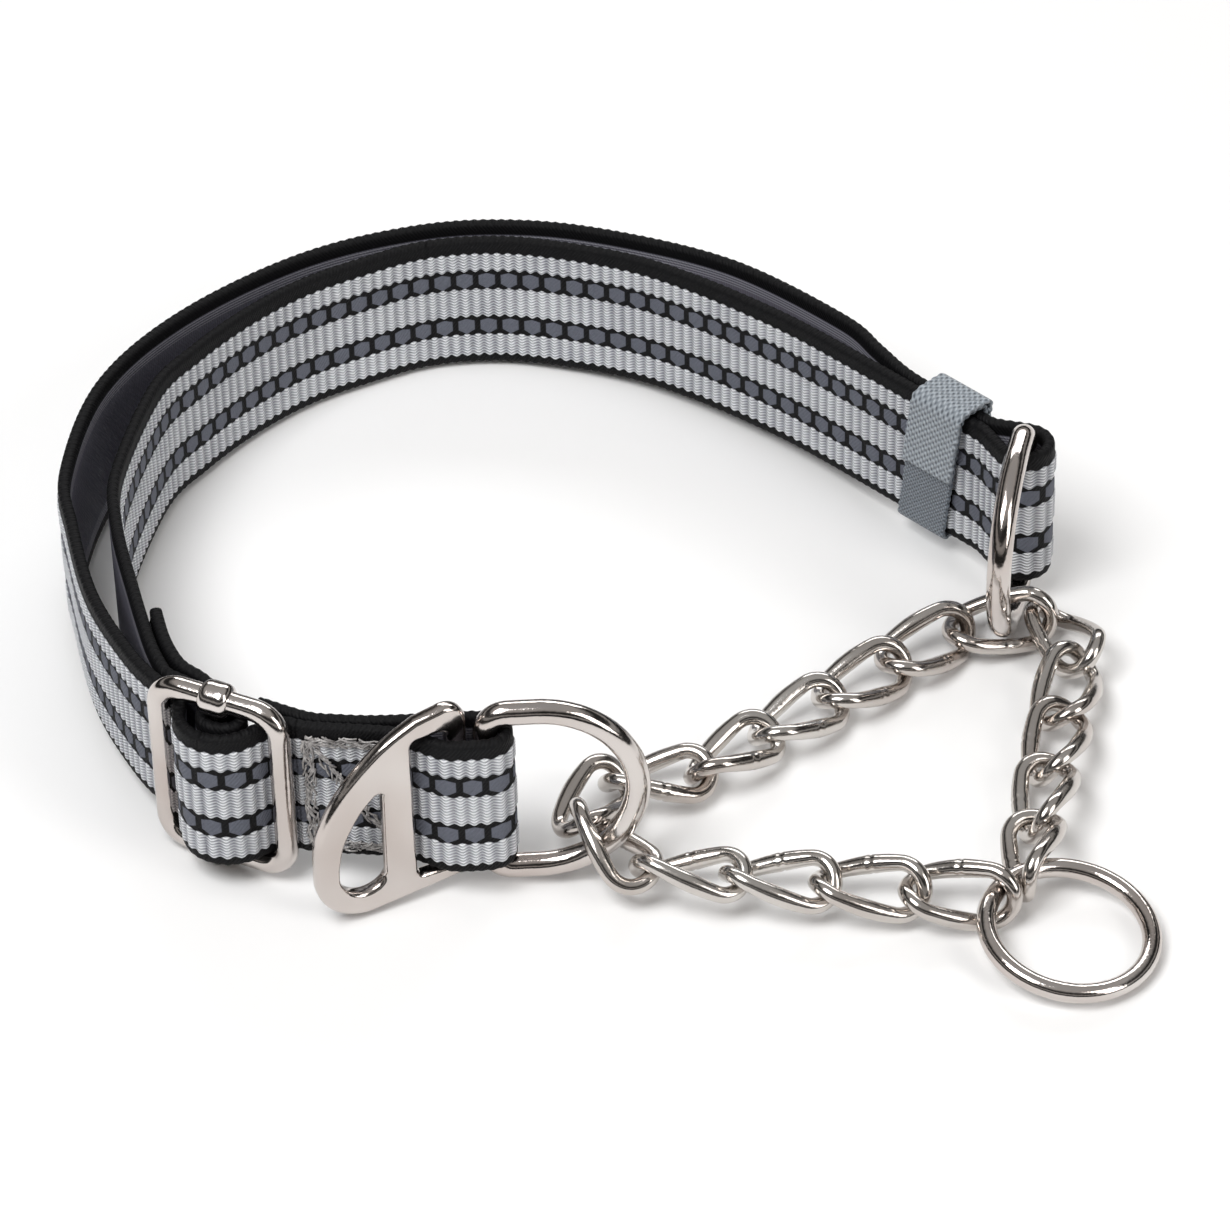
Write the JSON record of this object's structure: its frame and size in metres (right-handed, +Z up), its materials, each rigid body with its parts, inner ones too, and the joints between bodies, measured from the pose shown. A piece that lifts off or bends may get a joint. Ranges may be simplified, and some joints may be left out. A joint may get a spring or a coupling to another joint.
{
  "type": "martingale collar",
  "caption": "Martingale dog collar: a loop of patterned webbing with adjuster slide, keeper and leash plate, closed by a curb chain between two D-rings that a leash ring draws tight.",
  "frame": {"origin": "middle of the base of the bounding box, on the surface that the collar lies on", "axes": "+X along the long way of the laid collar, +Y towards the back of the neck, +Z up across the width of the webbing"},
  "size_m": [0.1685, 0.1603, 0.035],
  "materials": {
    "webbing": "ribbed silver and slate weave with black edges",
    "keeper": "coarse grey-blue weave",
    "thread": "glossy grey-brown thread",
    "nickel": "polished nickel plate",
    "chain": "polished nickel plate"
  },
  "bodies": {
    "webbing": {"long_strap": "webbing", "front_strap": "webbing", "box_stitch": "thread", "end_stitch": "thread"},
    "slide": {"slide_frame": "nickel", "slide_bar": "nickel", "slide_weave": "webbing", "end_loop": "webbing"},
    "keeper": {"keeper_band": "keeper", "keeper_overlap": "keeper"},
    "plate": {"leash_plate": "nickel"},
    "left_ring": {"left_d_ring": "nickel"},
    "right_ring": {"right_d_ring": "nickel"},
    "pull_ring": {"leash_ring": "nickel"},
    "chain_k": {"link_k": "chain"},
    "chain_a1": {"link_a1": "chain"},
    "chain_a2": {"link_a2": "chain"},
    "chain_a3": {"link_a3": "chain"},
    "chain_a4": {"link_a4": "chain"},
    "chain_a5": {"link_a5": "chain"},
    "chain_a6": {"link_a6": "chain"},
    "chain_b1": {"link_b1": "chain"},
    "chain_b2": {"link_b2": "chain"},
    "chain_b3": {"link_b3": "chain"},
    "chain_b4": {"link_b4": "chain"},
    "chain_b5": {"link_b5": "chain"},
    "chain_c1": {"link_c1": "chain"},
    "chain_c2": {"link_c2": "chain"},
    "chain_c3": {"link_c3": "chain"},
    "chain_c4": {"link_c4": "chain"},
    "chain_c5": {"link_c5": "chain"}
  },
  "joints": [
    {"name": "slide_adjust", "type": "slide", "parent": "webbing", "child": "slide", "axis": [0.8984, -0.4378, 0.0341], "range_m": [-0.004, 0.004], "deforming": ["slide_weave", "end_loop"]},
    {"name": "keeper_slide", "type": "slide", "parent": "webbing", "child": "keeper", "axis": [0.7005, -0.7125, 0.0399], "range_m": [-0.003, 0.003]},
    {"name": "plate_swing", "type": "hinge", "parent": "webbing", "child": "plate", "pos_m": [-0.02071, -0.05127, 0.01751], "axis": [-0.0206, 0.0357, 0.9992], "range_deg": [-3, 80]},
    {"name": "left_ring_swing", "type": "hinge", "parent": "webbing", "child": "left_ring", "pos_m": [-0.01611, -0.05126, 0.01761], "axis": [-0.0206, 0.0357, 0.9992], "range_deg": [-3, 3]},
    {"name": "right_ring_swing", "type": "hinge", "parent": "webbing", "child": "right_ring", "pos_m": [0.0674, 0.01662, 0.0169], "axis": [-0.0206, 0.0357, 0.9992], "range_deg": [-6, 3]},
    {"name": "leash_ring_lift", "type": "hinge", "parent": "webbing", "child": "pull_ring", "pos_m": [0.06013, -0.05926, 0.00495], "axis": [-0.7172, -0.6959, 0.0365], "range_deg": [0, 30]},
    {"name": "roll_k", "type": "hinge", "parent": "webbing", "child": "chain_k", "pos_m": [-0.0001, -0.0404, 0.0058], "axis": [0.4203, 0.9013, -0.1045], "range_deg": [-3, 0]},
    {"name": "roll_a1", "type": "hinge", "parent": "webbing", "child": "chain_a1", "pos_m": [0.0095, -0.0335, 0.0041], "axis": [0.9848, 0.1736, 0], "range_deg": [-8, 2]},
    {"name": "roll_a2", "type": "hinge", "parent": "webbing", "child": "chain_a2", "pos_m": [0.0211, -0.0281, 0.0044], "axis": [0.7547, 0.6561, 0], "range_deg": [-8, 8]},
    {"name": "roll_a3", "type": "hinge", "parent": "webbing", "child": "chain_a3", "pos_m": [0.03137, -0.01973, 0.00437], "axis": [0.7698, 0.6383, 0], "range_deg": [-8, 8]},
    {"name": "roll_a4", "type": "hinge", "parent": "webbing", "child": "chain_a4", "pos_m": [0.04163, -0.01137, 0.00433], "axis": [0.7844, 0.6202, 0], "range_deg": [-8, 8]},
    {"name": "roll_a5", "type": "hinge", "parent": "webbing", "child": "chain_a5", "pos_m": [0.0519, -0.003, 0.0043], "axis": [0.7986, 0.6018, 0], "range_deg": [-6, 6]},
    {"name": "roll_a6", "type": "hinge", "parent": "webbing", "child": "chain_a6", "pos_m": [0.0636, 0.0019, 0.0044], "axis": [0.9839, 0.1558, 0.0872], "range_deg": [-2, 6]},
    {"name": "roll_b1", "type": "hinge", "parent": "webbing", "child": "chain_b1", "pos_m": [0.0737, -0.0009, 0.0042], "axis": [0.3549, -0.9245, 0.1392], "range_deg": [-4, 6]},
    {"name": "roll_b2", "type": "hinge", "parent": "webbing", "child": "chain_b2", "pos_m": [0.0733, -0.0133, 0.0043], "axis": [-0.2756, -0.9613, 0], "range_deg": [-3, 8]},
    {"name": "roll_b3", "type": "hinge", "parent": "webbing", "child": "chain_b3", "pos_m": [0.07073, -0.0259, 0.0046], "axis": [-0.2249, -0.9741, 0.0233], "range_deg": [-5, 3]},
    {"name": "roll_b4", "type": "hinge", "parent": "webbing", "child": "chain_b4", "pos_m": [0.06817, -0.0385, 0.0049], "axis": [-0.1735, -0.9837, 0.0465], "range_deg": [-2, 5]},
    {"name": "roll_b5", "type": "hinge", "parent": "webbing", "child": "chain_b5", "pos_m": [0.0656, -0.0511, 0.0052], "axis": [-0.1216, -0.9901, 0.0698], "range_deg": [-3, 2]},
    {"name": "roll_c1", "type": "hinge", "parent": "webbing", "child": "chain_c1", "pos_m": [0.0544, -0.0603, 0.005], "axis": [-0.9944, 0.1045, 0.0175], "range_deg": [-4, 4]},
    {"name": "roll_c2", "type": "hinge", "parent": "webbing", "child": "chain_c2", "pos_m": [0.041, -0.0589, 0.00523], "axis": [-0.9937, 0.1103, 0.0175], "range_deg": [-4, 4]},
    {"name": "roll_c3", "type": "hinge", "parent": "webbing", "child": "chain_c3", "pos_m": [0.0276, -0.0575, 0.00547], "axis": [-0.9931, 0.1161, 0.0175], "range_deg": [-4, 5]},
    {"name": "roll_c4", "type": "hinge", "parent": "webbing", "child": "chain_c4", "pos_m": [0.0142, -0.0561, 0.0057], "axis": [-0.9924, 0.1219, 0.0175], "range_deg": [-3, 4]},
    {"name": "roll_c5", "type": "hinge", "parent": "webbing", "child": "chain_c5", "pos_m": [0.0024, -0.0514, 0.0068], "axis": [-0.6366, 0.7323, 0.2419], "range_deg": [0, 2]}
  ]
}
